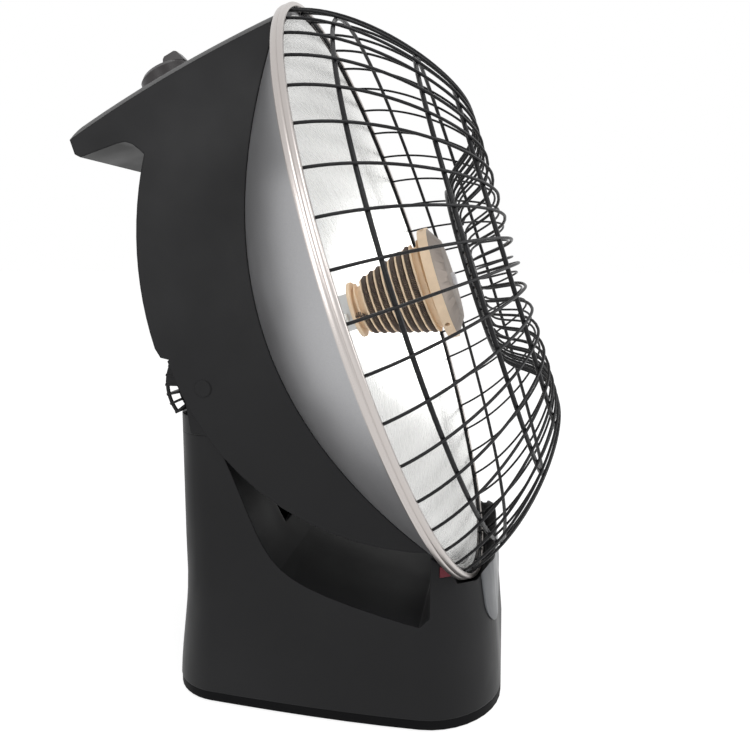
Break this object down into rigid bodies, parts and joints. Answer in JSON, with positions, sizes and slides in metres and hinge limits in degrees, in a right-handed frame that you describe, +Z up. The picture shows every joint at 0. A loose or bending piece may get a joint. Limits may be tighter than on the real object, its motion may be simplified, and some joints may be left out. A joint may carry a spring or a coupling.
{
  "type": "parabolic heater",
  "caption": "Free-standing dish heater: a tilting parabolic reflector with a cone element behind a domed wire guard, on a flared base with a rear handle.",
  "frame": {"origin": "on the floor, below the middle of the whole heater's width and depth at rest", "axes": "+Z up, -Y the way the dish looks, +X across the width, to the right seen from the front looking back along +Y"},
  "size_m": [0.3668, 0.2863, 0.4179],
  "materials": {
    "black_plastic": "satin, finely textured",
    "rubber": "matt",
    "screw_steel": "bright zinc",
    "silver_plate": "brushed satin, bare",
    "red_lens": "clear red",
    "lamp_glass": "clear",
    "white_plastic": "smooth",
    "dark_plastic": "smooth",
    "spring_steel": "bright",
    "plated_steel": "plated sheet",
    "silver_paint": "satin metallic silver",
    "insulation": "pressed mineral board",
    "reflector_metal": "polished sheet",
    "trim_metal": "bright rolled sheet",
    "black_wire": "gloss black coating",
    "ceramic": "unglazed cream ceramic",
    "white_ceramic": "glazed",
    "element_wire": "oxidised resistance wire",
    "disc_metal": "heat-darkened",
    "knob_plastic": "satin black",
    "mark_paint": "pale paint"
  },
  "bodies": {
    "base": {"base_shell": "black_plastic", "base_plate": "dark_plastic", "rubber_feet": "rubber", "base_screws": "screw_steel", "neck_cap": "black_plastic", "neck_louvre": "black_plastic", "front_plate": "silver_plate", "indicator_lens": "red_lens", "indicator_lamp": "lamp_glass", "cord_inlet": "rubber", "terminal_block": "white_plastic", "tip_switch": "dark_plastic", "tip_spring": "spring_steel", "pivot_washers": "dark_plastic"},
    "head": {"pivot_pins": "dark_plastic", "housing": "black_plastic", "cross_bar": "plated_steel", "dish_bowl": "silver_paint", "dish_spacer": "insulation", "dish_screws": "screw_steel", "reflector": "reflector_metal", "trim_ring": "trim_metal", "guard_wires": "black_wire", "guard_rim_wire": "black_wire", "guard_ring_outer": "black_wire", "guard_ring_middle": "black_wire", "guard_ring_inner": "black_wire", "guard_ring_dimple": "black_wire", "guard_ring_hub": "black_wire", "element_bracket": "plated_steel", "element_former": "ceramic", "heating_coil": "element_wire", "element_cap": "ceramic", "element_disc": "disc_metal", "element_bolt": "screw_steel", "terminal_tubes": "white_ceramic", "control_switch": "white_plastic"},
    "knob": {"control_shaft": "screw_steel", "knob": "knob_plastic", "knob_mark": "mark_paint"},
    "plunger": {"tip_plunger": "white_plastic"}
  },
  "joints": [
    {"name": "head_tilt", "type": "hinge", "parent": "base", "child": "head", "pos_m": [0, 0.06125, 0.194], "axis": [-1, 0, 0], "range_deg": [0, 15]},
    {"name": "knob_turn", "type": "hinge", "parent": "head", "child": "knob", "pos_m": [0, 0.1121, 0.37478], "axis": [0, 0.4404, 0.8978], "range_deg": [0, 270]},
    {"name": "tip_plunger_slide", "type": "slide", "parent": "base", "child": "plunger", "axis": [0, 0, -1], "range_m": [0, 0.004], "stiffness_N_per_m": 60, "springref_m": 0.006, "deforming": ["tip_spring"]}
  ]
}
